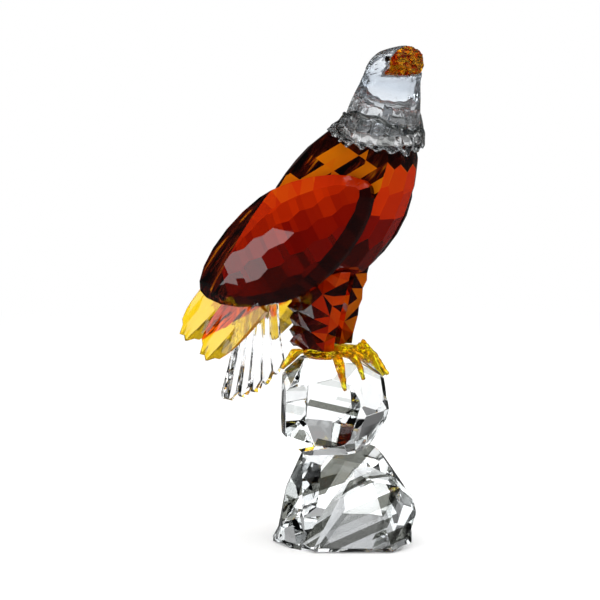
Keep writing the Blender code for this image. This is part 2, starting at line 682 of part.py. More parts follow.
def make_leg(side, name, material, bird):
    """A feathered leg: flat-sided in front, toothed behind, its top ground to the belly's flat."""
    edges, thigh_steps = 2 * LEG_TEETH, 3
    ankle = ANKLE_HEIGHT + SEAM
    above = BODY_RISE - ankle
    rings = []
    for k in range(edges + thigh_steps + 1):
        past = max(0, k - edges) / thigh_steps
        rise = LEG_TEETH_HEIGHT * min(1, k / edges)
        height = ankle + rise + (above - rise) * past
        share = (height - ankle) / above
        depth = LEG_DEPTH / 2 * (0.92 + 0.3 * share)
        width = LEG_WIDTH / 2 * (0.88 + 0.16 * min(1.0, share * 1.6))
        tooth = (1.36 if k % 2 else 1.1) if k <= edges else 1.1
        front, back = depth + LEG_RAKE * share, -depth * tooth
        cheek = (front + back) / 2
        outline = (
            (front, 0.2), (front - depth * 0.35, 1.0), (cheek - depth * 0.1, 1.1), (back, 0.35),
            (back, -0.35), (cheek - depth * 0.3, -0.95), (front - depth * 0.35, -0.95),
        )
        rings.append([Vector((x - LEG_BEHIND_FOOT, side * width * out, height)) for x, out in outline])
    skin = loft(rings)
    out = on_side(THIGH_OUT, side)
    grind(skin, BODY_MIDDLE + out * (THIGH_SEAT + SEAM / 2) - foot_spot(side), -out)
    add_piece(f"leg_{name}", skin, material, bird, Matrix.Translation(foot_spot(side)))


def draped_height(x, y, gap):
    """Lowest height above the perch at which a point keeps a gap to the boulder's top and facets."""
    height = gap
    middle = Vector((-BOULDER_SETBACK, 0, -BOULDER_HEIGHT / 2))
    for point, out in boulder_planes():
        if out.z > 0.2:
            spot = middle + point + out * gap
            height = min(height, spot.z - (out.x * (x - spot.x) + out.y * (y - spot.y)) / out.z)
    return height


def toe_radius(share):
    """The toe tapers over two soft knuckles, then runs down to its claw."""
    if share < CLAW_START:
        return TOE_RADIUS * (1 - 0.35 * share) * (1 + 0.12 * math.sin(3 * math.pi * share))
    neck = TOE_RADIUS * 0.62
    return neck + (CLAW_RADIUS - neck) * (share - CLAW_START) / (1 - CLAW_START)


def cut_toe(root, heading, length, foot):
    """A toe that runs out over the boulder's edge and ends in a claw. foot is the foot's own origin."""
    away = facing(heading, 0)
    points = []
    for k in range(TOE_STEPS + 1):
        share = k / TOE_STEPS
        spot = root + away * length * share
        arch = TOE_RADIUS * 0.7 * math.sin(math.pi * min(1.0, share * 1.25)) * (1 - share)
        spot.z = draped_height(spot.x, spot.y, toe_radius(share) + CLEARANCE) + arch
        points.append(spot - foot)
    rings = []
    for k, point in enumerate(points):
        ahead = (points[min(k + 1, TOE_STEPS)] - points[max(k - 1, 0)]).normalized()
        across = Vector((0, 0, 1)).cross(ahead).normalized()
        up = ahead.cross(across)
        radius = toe_radius(k / TOE_STEPS)
        turns = [2 * math.pi * i / TOE_SIDES for i in range(TOE_SIDES)]
        rings.append([point + (across * math.cos(turn) + up * math.sin(turn)) * radius for turn in turns])
    return loft(rings)


# Toes of the left foot: name, heading, length as a share of the longest one's, and how far forward it starts
# as a share of the palm's length
TOES = (
    ("outer", 42, 1.0, 0.32), ("middle", 6, 0.95, 0.32), ("inner", -22, 0.8, 0.32), ("hind", 172, 0.98, 0.0),
)
# The palm's outline, bottom to top: height as a share of the ankle's, and its size
PALM_RINGS = ((0.08, 0.95), (0.45, 1.12), (0.8, 1.0), (1.0, 0.8))


def make_foot(side, name, material, bird):
    """A cast foot: a palm under the leg with three toes in front and one behind."""
    rings = []
    for share, grow in PALM_RINGS:
        ring = []
        for k in range(PALM_SIDES):
            turn = 2 * math.pi * k / PALM_SIDES
            x, y = PALM_LENGTH / 2 * math.cos(turn), PALM_WIDTH / 2 * math.sin(turn)
            ring.append(Vector((x * grow, y * grow, ANKLE_HEIGHT * share)))
        rings.append(ring)
    palm = loft(rings)
    spot = foot_spot(side)
    foot = add_piece(f"foot_{name}", palm, material, bird, Matrix.Translation(spot), round_angle=40)
    for toe, heading, share, start in TOES:
        root = spot + Vector((PALM_LENGTH * start, 0, 0))
        skin = cut_toe(root, heading * side, TOE_LENGTH * share, spot)
        join_or_cut(foot, "UNION", f"joined_{toe}_toe_{name}", skin)
    reach = Vector((LEG_DEPTH * 0.7, LEG_WIDTH * 0.6, 0))
    low = Vector((-LEG_BEHIND_FOOT, 0, ANKLE_HEIGHT)) - reach
    seat = rough_block(low, Vector((-LEG_BEHIND_FOOT, 0, 4 * ANKLE_HEIGHT)) + reach)
    join_or_cut(foot, "DIFFERENCE", f"cutter_leg_seat_{name}", seat)


def make_model():
    clear_scene()
    clear, amber = (0.95, 0.97, 0.98), (0.75, 0.12, 0.02)
    make_base(make_material("rock_clear_crystal", clear, 0.02))
    make_boulder(make_material("boulder_clear_crystal", clear, 0.02))
    bird = add_empty("bird", None, Matrix.Translation((0, 0, PERCH)))
    make_body(make_material("body_amber_crystal", amber, 0.02), bird)
    make_tail(make_material("tail_clear_crystal", clear, 0.02), bird)
    neck = add_empty("neck", bird, NECK_FRAME)
    make_collar(make_material("collar_cast_clear_crystal", clear, 0.08), neck)
    head = make_head(make_material("head_clear_crystal", clear, 0.03), neck)
    make_beak(make_material("beak_cast_amber_crystal", (0.85, 0.30, 0.04), 0.12), head)
    jet = make_material("eye_jet_bead", (0.01, 0.01, 0.012), 0.08, transmission=0.0)
    wing = make_material("wing_amber_crystal", amber, 0.02)
    feather = make_material("feather_honey_crystal", (0.98, 0.62, 0.05), 0.03)
    leg = make_material("leg_amber_crystal", amber, 0.03)
    foot = make_material("foot_cast_yellow_crystal", (0.95, 0.75, 0.12), 0.10)
    for side, name in ((RIGHT, "right"), (LEFT, "left")):
        make_eye(side, name, jet, head)
        make_wing(side, name, wing, feather, bird)
        make_leg(side, name, leg, bird)
        make_foot(side, name, foot, bird)
    bpy.context.view_layer.update()


make_model()
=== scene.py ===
import json
import math
import bpy
from mathutils import Matrix, Vector

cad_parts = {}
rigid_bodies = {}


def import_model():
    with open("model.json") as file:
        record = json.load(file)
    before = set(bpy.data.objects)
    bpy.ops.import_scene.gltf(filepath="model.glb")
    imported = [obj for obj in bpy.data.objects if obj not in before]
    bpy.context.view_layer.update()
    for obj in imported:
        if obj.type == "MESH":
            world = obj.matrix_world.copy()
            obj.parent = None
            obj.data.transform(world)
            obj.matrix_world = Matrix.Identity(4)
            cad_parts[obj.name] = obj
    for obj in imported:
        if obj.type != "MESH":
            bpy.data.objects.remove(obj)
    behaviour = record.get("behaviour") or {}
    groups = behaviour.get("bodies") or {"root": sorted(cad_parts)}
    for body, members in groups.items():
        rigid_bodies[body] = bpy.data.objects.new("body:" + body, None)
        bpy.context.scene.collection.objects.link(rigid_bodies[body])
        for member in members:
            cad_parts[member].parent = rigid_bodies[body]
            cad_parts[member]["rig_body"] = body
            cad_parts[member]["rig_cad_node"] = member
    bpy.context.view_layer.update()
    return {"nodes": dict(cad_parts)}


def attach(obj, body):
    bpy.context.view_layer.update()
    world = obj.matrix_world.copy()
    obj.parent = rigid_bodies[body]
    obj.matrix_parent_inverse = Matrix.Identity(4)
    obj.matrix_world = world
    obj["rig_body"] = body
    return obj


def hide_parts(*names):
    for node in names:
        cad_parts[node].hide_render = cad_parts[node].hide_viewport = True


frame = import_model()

mm = 0.001
print("frame loaded:", len(frame["nodes"]), "nodes")


# Camera: the photograph's viewing angle, from far off through a very long lens
camera = {
    "turn": 28,  # degrees round from the bird's right side
    "rise": 12,
    "lens": 1090,  # in mm, as the sensor is
    "sensor": 36,
    "distance": 8,  # in metres, as the nearest and farthest that it sees are
    "sees": (0.05, 50),
    "aimRight": -18.9 * mm,  # of the base's middle, across the picture
    "aimUp": 105.6 * mm,
}


def viewAxes(turn, rise):
    turn, rise = math.radians(turn), math.radians(rise)
    back = Vector((math.sin(turn) * math.cos(rise), -math.cos(turn) * math.cos(rise), math.sin(rise)))
    right = Vector((math.cos(turn), math.sin(turn), 0))
    return right, back.cross(right), back


def addCamera():
    right, up, back = viewAxes(camera["turn"], camera["rise"])
    data = bpy.data.cameras.new("camera")
    data.lens = camera["lens"]
    data.sensor_width = camera["sensor"]
    data.clip_start, data.clip_end = camera["sees"]
    shot = bpy.data.objects.new("camera", data)
    bpy.context.scene.collection.objects.link(shot)
    shot.location = right * camera["aimRight"] + up * camera["aimUp"] + back * camera["distance"]
    shot.rotation_euler = (-back).to_track_quat("-Z", "Y").to_euler()
    bpy.context.scene.camera = shot


def linear(code):
    values = [int(code[k:k + 2], 16) / 255 for k in (1, 3, 5)]
    return [v / 12.92 if v <= 0.04045 else ((v + 0.055) / 1.055) ** 2.4 for v in values] + [1.0]


def addNode(tree, kind, values=None, links=None, stops=(), **settings):
    node = tree.nodes.new(kind)
    for key, value in settings.items():
        setattr(node, key, value)
    for k, (place, code) in enumerate(stops):  # of a colour ramp, which has two to start with
        stop = node.color_ramp.elements[k] if k < 2 else node.color_ramp.elements.new(place)
        stop.position, stop.color = place, linear(code)
    for key, value in (values or {}).items():
        node.inputs[key].default_value = value
    for key, source in (links or {}).items():
        tree.links.new(source, node.inputs[key])
    return node


# Studio: a pale sweep, a white scrim above, a backdrop behind, black flags all round and one soft box.
# The camera sees floor and dome as plain white, and the stones show a darker room, so that their edges
# stand out. Floor ranges are distances from the base in metres, and dome ranges are how high or how far
# behind, up to 1
studio = {
    "floorRadius": 3.6,
    "floorDrop": 0.02 * mm,  # so that it shares no plane with the base
    "floorColor": "#ffffff",
    "floorRough": 0.9,
    "floorGloss": 0.1,
    "shadow": (0.5, 1.4),  # painted shadow: the paper goes dark here, as the stones show it
    "blown": (0.22, 0.5),  # and is overexposed from here, seen straight
    "underRockGlow": (0.05, 0.11),  # painted light: the paper under the rock glows, as its facets show it, out to here
    "underRockGlowStrength": 0.7,
    "scrim": (0.6, 0.72),
    "scrimGlow": 2.8,
    "backdrop": (0.5, 0.9),
    "backdropGlow": 0.55,
    "flagGlow": 0.03,
    "mirroredScrim": (0.85, 0.95),  # what polished facets mirror of it
    "mirroredScrimGlow": 0.3,
    "mirroredFloorGlow": 0.06,
    "softboxes": [  # heading and height in degrees, distance and size in metres, brightness
        {"name": "keyBox", "turn": 229.5, "rise": 0.5, "away": 0.6, "wide": 0.22, "tall": 0.24, "glow": 2.6},
    ],
    "softboxAim": Vector((0, 0, 0.12)),
}


def mirroredRay(tree):
    path = addNode(tree, "ShaderNodeLightPath").outputs  # 1 where a polished face mirrors the studio
    return addNode(tree, "ShaderNodeMath", links={
        0: path["Is Reflection Ray"], 1: path["Is Glossy Ray"],
    }, operation="MULTIPLY").outputs["Value"]


def addFloor():
    bpy.ops.object.select_all(action="DESELECT")
    bpy.ops.mesh.primitive_circle_add(vertices=96, radius=studio["floorRadius"], fill_type="NGON",
                                      location=(0, 0, -studio["floorDrop"]))
    floor = bpy.context.object
    floor.name = "studioFloor"
    paper = bpy.data.materials.new("paperSweep")
    paper.use_nodes = True
    tree = paper.node_tree
    shader = tree.nodes["Principled BSDF"]
    shader.inputs["Base Color"].default_value = linear(studio["floorColor"])
    shader.inputs["Emission Color"].default_value = linear(studio["floorColor"])
    shader.inputs["Roughness"].default_value = studio["floorRough"]
    shader.inputs["Specular IOR Level"].default_value = studio["floorGloss"]
    spot = addNode(tree, "ShaderNodeTexCoord").outputs["Object"]
    out = addNode(tree, "ShaderNodeVectorMath", links={0: spot}, operation="LENGTH").outputs["Value"]
    direct = addNode(tree, "ShaderNodeLightPath").outputs["Is Camera Ray"]
    shadow, blown, underRockGlow = [
        addNode(tree, "ShaderNodeMapRange", {
            "From Min": near, "From Max": far, "To Min": first, "To Max": last,
        }, {"Value": out}, interpolation_type="SMOOTHSTEP").outputs["Result"]
        for (near, far), first, last in (
            (studio["shadow"], 0, 1), (studio["blown"], 0, 1), (studio["underRockGlow"], studio["underRockGlowStrength"], 0),
        )
    ]
    # painted light: a glow on the paper under the rock, seen only through the stones
    hidden = addNode(tree, "ShaderNodeMath", {0: 1}, {1: direct}, operation="SUBTRACT").outputs["Value"]
    glow = addNode(tree, "ShaderNodeMath", links={0: underRockGlow, 1: hidden}, operation="MULTIPLY")
    tree.links.new(glow.outputs["Value"], shader.inputs["Emission Strength"])
    edge = addNode(tree, "ShaderNodeMix", links={"Factor": direct, "A": shadow, "B": blown})
    level = addNode(tree, "ShaderNodeEmission", links={"Strength": direct})
    paperSeen = addNode(tree, "ShaderNodeMixShader", links={
        "Fac": edge.outputs["Result"], 1: shader.outputs["BSDF"], 2: level.outputs["Emission"],
    })
    flagged = addNode(tree, "ShaderNodeEmission", {"Color": [studio["mirroredFloorGlow"]] * 3 + [1]})
    seen = addNode(tree, "ShaderNodeMixShader", links={
        "Fac": mirroredRay(tree), 1: paperSeen.outputs["Shader"], 2: flagged.outputs["Emission"],
    })
    tree.links.new(seen.outputs["Shader"], tree.nodes["Material Output"].inputs["Surface"])
    floor.data.materials.append(paper)


def addDome():
    world = bpy.data.worlds.new("studioDome")
    bpy.context.scene.world = world
    world.use_nodes = True
    tree = world.node_tree
    tree.nodes.clear()
    direction = addNode(tree, "ShaderNodeTexCoord").outputs["Generated"]
    height = addNode(tree, "ShaderNodeSeparateXYZ", links={"Vector": direction}).outputs["Z"]
    away = -viewAxes(camera["turn"], 0)[2]
    behind = addNode(tree, "ShaderNodeVectorMath", {1: away}, {0: direction}, operation="DOT_PRODUCT")
    scrim, backdrop, mirrored = [
        addNode(tree, "ShaderNodeMapRange", {
            "From Min": low, "From Max": high, "To Min": 0, "To Max": top,
        }, {"Value": source}, interpolation_type="SMOOTHSTEP").outputs["Result"]
        for source, (low, high), top in (
            (height, studio["scrim"], studio["scrimGlow"]),
            (behind.outputs["Value"], studio["backdrop"], studio["backdropGlow"]),
            (height, studio["mirroredScrim"], studio["mirroredScrimGlow"]),
        )
    ]
    lit = addNode(tree, "ShaderNodeMath", links={0: scrim, 1: backdrop}, operation="MAXIMUM").outputs["Value"]
    chosen = addNode(tree, "ShaderNodeMix", links={"Factor": mirroredRay(tree), "A": lit, "B": mirrored})
    direct = addNode(tree, "ShaderNodeLightPath").outputs["Is Camera Ray"]
    shown = addNode(tree, "ShaderNodeMath", links={0: chosen.outputs["Result"], 1: direct},
                    operation="MAXIMUM")
    level = addNode(tree, "ShaderNodeMath", {1: studio["flagGlow"]}, {0: shown.outputs["Value"]},
                    operation="MAXIMUM")
    glow = addNode(tree, "ShaderNodeBackground", links={"Strength": level.outputs["Value"]})
    addNode(tree, "ShaderNodeOutputWorld", links={"Surface": glow.outputs["Background"]})


def addSoftboxes():
    for box in studio["softboxes"]:
        turn, rise = math.radians(box["turn"]), math.radians(box["rise"])
        away = Vector((math.cos(turn) * math.cos(rise), math.sin(turn) * math.cos(rise), math.sin(rise)))
        light = bpy.data.lights.new(box["name"], "AREA")
        light.shape = "RECTANGLE"
        light.size, light.size_y = box["wide"], box["tall"]
        light.energy = box["glow"] * box["wide"] * box["tall"] * math.pi
        lamp = bpy.data.objects.new(box["name"], light)
        bpy.context.scene.collection.objects.link(lamp)
        lamp.location = away * box["away"] + studio["softboxAim"]
        lamp.rotation_euler = away.to_track_quat("Z", "Y").to_euler()


# Crystal finishes: lead glass bends light hard, and its colour deepens with the glass that the light crosses.
# tints are the palest and deepest surface colour, in cloudy patches as wide as patch, and cloudy is how
# sharply they part. rough is the least and most blur of the polish. wave and swell are the width and height
# of the waviness that polishing by hand leaves. absorb is the loss of red, green and blue per metre of glass.
# see is the share of the light that goes straight through, and the rest shows the surface colour with its
# painted shade.
# facets are painted shades for its facets, or for the collar's leaves, by their paintedFacetShade from 0 to
# 1, and streaks are painted flashes, standing for where one facet shows many others behind it. Widths and
# heights are in mm
# Painted shade: the colours that facets are painted, from dark to bright, for what each shows of the studio
amberPaintedShades = ((0, "#080202"), (0.15, "#4a0600"), (0.4, "#980e00"), (0.7, "#f23a00"), (0.86, "#ff6a04"),
               (1, "#ff8c06"))
clearPaintedShades = ((0, "#34352f"), (0.5, "#b4b6b2"), (1, "#ffffff"))
# Painted flashes of light and dark, as where one facet shows many others behind it
amberPaintedFlashes = {
    "width": 2.4, "length": 34, "slant": 36,  # in mm and degrees
    "colors": ((0.44, "#060202"), (0.5, "#501004"), (0.55, "#0c0303"), (0.64, "#7c2404"), (0.76, "#e08a08")),
}
ground = {"ior": 1.56, "rough": (0.0, 0.015), "wave": 6, "swell": 0.004}
groundAmber = {**ground, "patch": 12, "absorb": (2, 12, 200), "facets": amberPaintedShades, "streaks": amberPaintedFlashes}
groundClear = {**ground, "patch": 14, "tints": ("#ffffff", "#f4f6f8"), "absorb": (0.8, 0.6, 0.6)}
glass = {
    "clearLeadCrystal": groundClear,  # ground and polished: water clear, with sharp bright facets
    "leadCrystalPaintedShards": {**groundClear, "facets": clearPaintedShades},  # the same, its far facets painted as grey and dark shards of shade
    "amberLeadCrystal": {  # ground and polished, its facets painted with orange flashes among dark red and black shade
        **groundAmber, "tints": ("#ffffff", "#fff0e2"), "see": 0.3,
    },
    "redAmberLeadCrystal": {  # the same glass, a little redder and clearer
        **groundAmber, "tints": ("#ffffff", "#ffece0"), "see": 0.4,
    },
    "legAmberLeadCrystal": {  # the same glass chipped small, clearer and browner
        **groundAmber, "tints": ("#ffffff", "#ffe8d8"), "patch": 5, "rough": (0.0, 0.01), "wave": 4,
        "swell": 0.003, "absorb": (2, 20, 300), "see": 0.55,
    },
    "castAmberCrystal": {  # cast and fire polished: crinkled, with glints partly painted as pale gold patches among dark red
        "ior": 1.54, "tints": ("#ffe878", "#b82404"), "patch": 2.2, "cloudy": (0.44, 0.56),
        "rough": (0.0, 0.02), "wave": 2, "swell": 0.2, "absorb": (4, 34, 480), "see": 0.95,
    },
    "castYellowCrystal": {  # cast and fire polished: honey yellow, softly rippled
        "ior": 1.54, "tints": ("#fff650", "#d87808"), "patch": 3.5, "cloudy": (0.46, 0.62),
        "rough": (0.0, 0.02), "wave": 2.4, "swell": 0.06, "absorb": (2, 16, 400), "see": 0.95,
    },
    "castClearCrystal": {  # full of small lenses, and its sparkle is also painted, as grey and white patches and leaf shades
        "ior": 1.54, "tints": ("#ffffff", "#b0b4b8"), "patch": 2, "rough": (0.0, 0.04),
        "wave": 1.6, "swell": 0.03, "absorb": (4, 4, 4), "facets": clearPaintedShades,
    },
}
blurred = (0.5, 0.75)  # the cloud level where the polish starts to blur, and where it blurs most


def newMaterial(name):
    material = bpy.data.materials.new(name)
    material.use_nodes = True
    tree = material.node_tree
    return material, tree, addNode(tree, "ShaderNodeTexCoord").outputs["Object"]


def finishGlass(tree, kind, links):  # what is the same all over a stone is set on the shader's own sockets
    shader = tree.nodes["Principled BSDF"]
    for key, source in links.items():
        tree.links.new(source, shader.inputs[key])
    shader.inputs["IOR"].default_value = kind["ior"]
    shader.inputs["Transmission Weight"].default_value = kind.get("see", 1)
    strongest = max(kind["absorb"])
    volume = addNode(tree, "ShaderNodeVolumeAbsorption")
    volume.inputs["Color"].default_value = [1 - loss / strongest for loss in kind["absorb"]] + [1]
    volume.inputs["Density"].default_value = strongest
    tree.links.new(volume.outputs["Volume"], tree.nodes["Material Output"].inputs["Volume"])


# The painted shade of each facet, with painted flashes mixed in where the stone has them
def paintedFacetColor(tree, spot, kind):
    tone = addNode(tree, "ShaderNodeAttribute", attribute_name="paintedFacetShade").outputs["Fac"]
    facets = addNode(tree, "ShaderNodeValToRGB", links={"Fac": tone}, stops=kind["facets"]).outputs["Color"]
    if "streaks" not in kind:
        return facets
    streaks = kind["streaks"]
    turned = addNode(tree, "ShaderNodeMapping", {
        "Rotation": (0, math.radians(streaks["slant"]), 0),
        "Scale": (streaks["width"] * mm, streaks["width"] * mm, streaks["length"] * mm),
    }, {"Vector": spot}, vector_type="TEXTURE")
    grain = addNode(tree, "ShaderNodeTexNoise", {"Scale": 1, "Detail": 2},
                    {"Vector": turned.outputs["Vector"]})
    flashes = addNode(tree, "ShaderNodeValToRGB", links={"Fac": grain.outputs["Fac"]},
                      stops=streaks["colors"])
    streaked = addNode(tree, "ShaderNodeAttribute", attribute_name="paintedFacetFlashes")
    return addNode(tree, "ShaderNodeMix", links={
        "Factor": streaked.outputs["Fac"], "A": facets, "B": flashes.outputs["Color"],
    }, data_type="RGBA").outputs["Result"]


def crystalMaterial(name):
    kind = glass[name]
    material, tree, spot = newMaterial(name)
    cloud = addNode(tree, "ShaderNodeTexNoise", {"Scale": 1 / (kind["patch"] * mm), "Detail": 1},
                    {"Vector": spot}).outputs["Fac"]
    low, high = kind.get("cloudy", (0, 1))
    share = addNode(tree, "ShaderNodeMapRange", {"From Min": low, "From Max": high}, {"Value": cloud})
    pale, deep = [linear(code) for code in kind["tints"]]
    color = addNode(tree, "ShaderNodeMix", {"A": pale, "B": deep}, {"Factor": share.outputs["Result"]},
                    data_type="RGBA").outputs["Result"]
    if "facets" in kind:
        color = addNode(tree, "ShaderNodeMix", {"Factor": 1}, {"A": color, "B": paintedFacetColor(tree, spot, kind)},
                        data_type="RGBA", blend_type="MULTIPLY").outputs["Result"]
    polish = addNode(tree, "ShaderNodeMapRange", {
        "From Min": blurred[0], "From Max": blurred[1],
        "To Min": kind["rough"][0], "To Max": kind["rough"][1],
    }, {"Value": cloud})
    wave = addNode(tree, "ShaderNodeTexNoise", {"Scale": 1 / (kind["wave"] * mm), "Detail": 0},
                   {"Vector": spot})
    bump = addNode(tree, "ShaderNodeBump", {"Distance": kind["swell"] * mm, "Strength": 1},
                   {"Height": wave.outputs["Fac"]})
    finishGlass(tree, kind, {
        "Base Color": color, "Roughness": polish.outputs["Result"], "Normal": bump.outputs["Normal"],
    })
    return material


# Feather glass: amber at the root, with dark streaks, and yellow at the tip, fused along one clean line
featherGlass = {
    "ior": 1.56,
    "down": (0.52, 0, -0.85),  # across the line where the two colours meet
    "lines": {"inner": -106 * mm, "outer": -150 * mm},  # where that line is, along that way
    "wander": (5 * mm, 1.2 * mm),  # how long and how far the line wanders
    "blend": 0.5 * mm,  # and how wide it is
    "amber": "#f86408",
    "dark": "#240602",
    "yellow": "#ffdc34",
    "slant": 38,  # degrees that the streaks lean, as the blades do
    "streak": (1.6 * mm, 22 * mm),  # their width and length
    "cover": (0.54, 0.62),  # the grain level where a streak starts, and where it is darkest
    "see": 0.8,
    "absorb": (2, 24, 400),
}


def featherMaterial(blade):
    material, tree, spot = newMaterial(blade + "FusedAmberYellowCrystal")
    along = addNode(tree, "ShaderNodeVectorMath", {1: featherGlass["down"]}, {0: spot},
                    operation="DOT_PRODUCT")
    length, swing = featherGlass["wander"]
    drift = addNode(tree, "ShaderNodeTexNoise", {"Scale": 1 / length, "Detail": 1}, {"Vector": spot})
    line = addNode(tree, "ShaderNodeMath", {1: swing, 2: featherGlass["lines"][blade]},
                   {0: drift.outputs["Fac"]}, operation="MULTIPLY_ADD")
    past = addNode(tree, "ShaderNodeMath", links={0: along.outputs["Value"], 1: line.outputs["Value"]},
                   operation="SUBTRACT")
    share = addNode(tree, "ShaderNodeMapRange", {"From Min": 0, "From Max": featherGlass["blend"]},
                    {"Value": past.outputs["Value"]})
    width, length = featherGlass["streak"]
    turned = addNode(tree, "ShaderNodeMapping", {
        "Rotation": (0, math.radians(featherGlass["slant"]), 0), "Scale": (width, width, length),
    }, {"Vector": spot}, vector_type="TEXTURE")
    grain = addNode(tree, "ShaderNodeTexNoise", {"Scale": 1, "Detail": 1},
                    {"Vector": turned.outputs["Vector"]})
    low, high = featherGlass["cover"]
    streaked = addNode(tree, "ShaderNodeMapRange", {"From Min": low, "From Max": high},
                       {"Value": grain.outputs["Fac"]})
    amber, dark, yellow = [linear(featherGlass[name]) for name in ("amber", "dark", "yellow")]
    root = addNode(tree, "ShaderNodeMix", {"A": amber, "B": dark}, {"Factor": streaked.outputs["Result"]},
                   data_type="RGBA")
    tint = addNode(tree, "ShaderNodeMix", {"B": yellow},
                   {"Factor": share.outputs["Result"], "A": root.outputs["Result"]}, data_type="RGBA")
    tree.nodes["Principled BSDF"].inputs["Roughness"].default_value = 0
    finishGlass(tree, featherGlass, {"Base Color": tint.outputs["Result"]})
    return material


# The neck's own axis, which the head and the collar stand on
neck = {"seat": Vector((18.5, 0, 183.3)) * mm, "lean": math.radians(7)}
neck["forward"] = Vector((math.cos(neck["lean"]), 0, -math.sin(neck["lean"])))
neck["up"] = Vector((math.sin(neck["lean"]), 0, math.cos(neck["lean"])))

# Engraved crystal of the head: clear and smooth, with frosted strokes for the feathers, and a grey-blue band
# of painted shade up the neck. Each set of strokes has its width and length, its slant in degrees, its height
# range above the neck seat and how rare its strokes are. Lengths are in mm
engraving = {
    "ior": 1.5,
    "strokes": (
        {"width": 1.6, "length": 8, "slant": 12, "low": 3, "high": 16, "cover": 0.68},  # the neck's
        {"width": 1.1, "length": 6, "slant": 70, "low": 29, "high": 45, "cover": 0.57},  # the crown's
    ),
    "strokeEdge": 0.07,  # how soft a stroke's edge is
    "strokeColor": "#787c84",
    "fadeIn": 2,  # the height over which a set comes in at its foot
    "fadeOut": 3,  # and goes out at its top
    "tints": ((0.3, "#ffffff"), (0.42, "#c4ccd6"), (0.6, "#d2d8e0"), (0.72, "#ffffff")),  # by height: the grey-blue is painted shade
    "tintedHeight": 50,  # of which those are shares
    "depth": 0.35,
    "frost": 0.35,  # how rough the strokes are
    "see": 0.93,
    "absorb": (3, 2.2, 1.6),
}


def engravedMaterial():
    material, tree, spot = newMaterial("engravedLeadCrystal")
    rising = addNode(tree, "ShaderNodeVectorMath", {1: neck["up"]}, {0: spot}, operation="DOT_PRODUCT")
    up = rising.outputs["Value"]
    foot = neck["seat"].dot(neck["up"])
    cuts = []
    for strokes in engraving["strokes"]:
        turned = addNode(tree, "ShaderNodeMapping", {
            "Rotation": (0, math.radians(strokes["slant"]), 0),
            "Scale": (strokes["width"] * mm, strokes["width"] * mm, strokes["length"] * mm),
        }, {"Vector": spot}, vector_type="TEXTURE")
        grain = addNode(tree, "ShaderNodeTexNoise", {"Scale": 1, "Detail": 0},
                        {"Vector": turned.outputs["Vector"]})
        cut = addNode(tree, "ShaderNodeMapRange", {
            "From Min": strokes["cover"], "From Max": strokes["cover"] + engraving["strokeEdge"],
        }, {"Value": grain.outputs["Fac"]}, interpolation_type="SMOOTHSTEP")
        foots, tops = [
            addNode(tree, "ShaderNodeMapRange", {
                "From Min": foot + edge * mm, "From Max": foot + inside * mm,
            }, {"Value": up}).outputs["Result"]
            for edge, inside in (
                (strokes["low"], strokes["low"] + engraving["fadeIn"]),
                (strokes["high"], strokes["high"] - engraving["fadeOut"]),
            )
        ]
        band = addNode(tree, "ShaderNodeMath", links={0: foots, 1: tops}, operation="MULTIPLY")
        cuts.append(addNode(tree, "ShaderNodeMath", links={
            0: cut.outputs["Result"], 1: band.outputs["Value"],
        }, operation="MULTIPLY").outputs["Value"])
    deepest = addNode(tree, "ShaderNodeMath", links={0: cuts[0], 1: cuts[1]}, operation="MAXIMUM")
    cut = deepest.outputs["Value"]
    frost = addNode(tree, "ShaderNodeMath", {1: engraving["frost"]}, {0: cut}, operation="MULTIPLY")
    bump = addNode(tree, "ShaderNodeBump", {"Distance": engraving["depth"] * mm, "Strength": 1},
                   {"Height": cut}, invert=True)
    height = addNode(tree, "ShaderNodeMapRange", {
        "From Min": foot, "From Max": foot + engraving["tintedHeight"] * mm,
    }, {"Value": up})
    tints = addNode(tree, "ShaderNodeValToRGB", links={"Fac": height.outputs["Result"]},
                    stops=engraving["tints"])
    color = addNode(tree, "ShaderNodeMix", {"B": linear(engraving["strokeColor"])},
                    {"Factor": cut, "A": tints.outputs["Color"]}, data_type="RGBA")
    finishGlass(tree, engraving, {
        "Base Color": color.outputs["Result"], "Roughness": frost.outputs["Value"],
        "Normal": bump.outputs["Normal"],
    })
    return material


# The eyes' black beads, mottled a little with brown
jet = {"tints": ("#050404", "#1a120c"), "patch": 0.8 * mm, "rough": 0.05}


def jetMaterial():
    material, tree, spot = newMaterial("jetBead")
    shader = tree.nodes["Principled BSDF"]
    cloud = addNode(tree, "ShaderNodeTexNoise", {"Scale": 1 / jet["patch"]}, {"Vector": spot})
    black, brown = [linear(code) for code in jet["tints"]]
    tint = addNode(tree, "ShaderNodeMix", {"A": black, "B": brown}, {"Factor": cloud.outputs["Fac"]},
                   data_type="RGBA")
    tree.links.new(tint.outputs["Result"], shader.inputs["Base Color"])
    shader.inputs["Roughness"].default_value = jet["rough"]
    return material


finish = {name: crystalMaterial(name) for name in glass}
for blade in featherGlass["lines"]:
    finish[blade + "FusedAmberYellowCrystal"] = featherMaterial(blade)
finish["engravedLeadCrystal"] = engravedMaterial()
finish["jetBead"] = jetMaterial()
print("finishes:", len(finish))


mergeWithin = 0.002 * mm  # which joins a solid's loose triangles


def copyNode(node, name):  # a copy of the solid, to be worked on
    bpy.ops.object.select_all(action="DESELECT")
    piece = frame["nodes"][node].copy()
    piece.data = piece.data.copy()
    piece.parent = None
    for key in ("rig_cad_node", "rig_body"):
        if key in piece:
            del piece[key]
    piece.name = piece.data.name = name
    piece.data.materials.clear()
    bpy.context.scene.collection.objects.link(piece)
    bpy.context.view_layer.objects.active = piece
    piece.select_set(True)
    bpy.ops.object.mode_set(mode="EDIT")
    bpy.ops.mesh.select_all(action="SELECT")
    bpy.ops.mesh.remove_doubles(threshold=mergeWithin)
    bpy.ops.object.mode_set(mode="OBJECT")
    return piece


